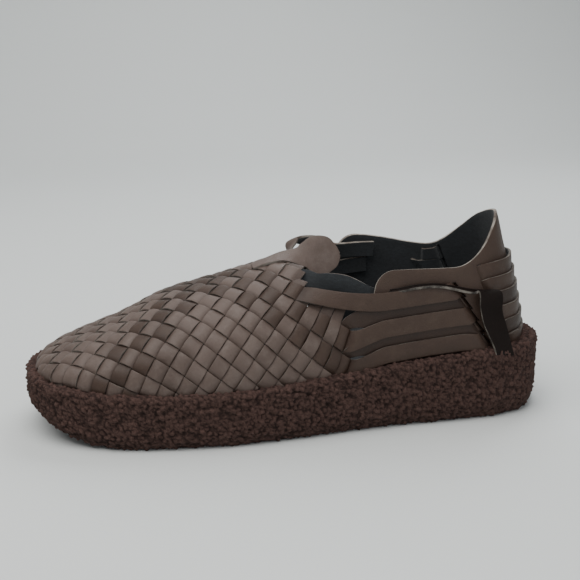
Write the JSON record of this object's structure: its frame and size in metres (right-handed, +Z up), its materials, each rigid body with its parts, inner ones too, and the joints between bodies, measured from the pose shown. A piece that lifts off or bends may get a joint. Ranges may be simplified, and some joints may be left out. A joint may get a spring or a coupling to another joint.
{
  "type": "woven leather sandal",
  "caption": "Left closed-toe sandal of diagonally woven leather strips with side straps, a heel leaf, loose collar straps and a thick crumb sole.",
  "frame": {"origin": "on the floor, below the middle of the sole's length and width", "axes": "+X towards the heel, so the toe points to -X; +Y towards the inner side of the foot; +Z up"},
  "size_m": [0.3, 0.1102, 0.1149],
  "materials": {
    "crumb_rubber": "rough crumbed foam",
    "sock_leather": "dull flesh side",
    "woven_leather": "oiled, soft sheen",
    "leaf_leather": "oiled, soft sheen",
    "tongue_leather": "oiled, soft sheen",
    "strap_leather": "oiled, soft sheen"
  },
  "bodies": {
    "root": {"outsole": "crumb_rubber", "insole": "sock_leather", "upper": "woven_leather", "counter": "leaf_leather", "tongue": "tongue_leather", "collar_strap_lateral": "strap_leather", "collar_strap_medial": "strap_leather", "pull_strap_lateral": "strap_leather", "pull_strap_medial": "strap_leather"}
  },
  "joints": []
}
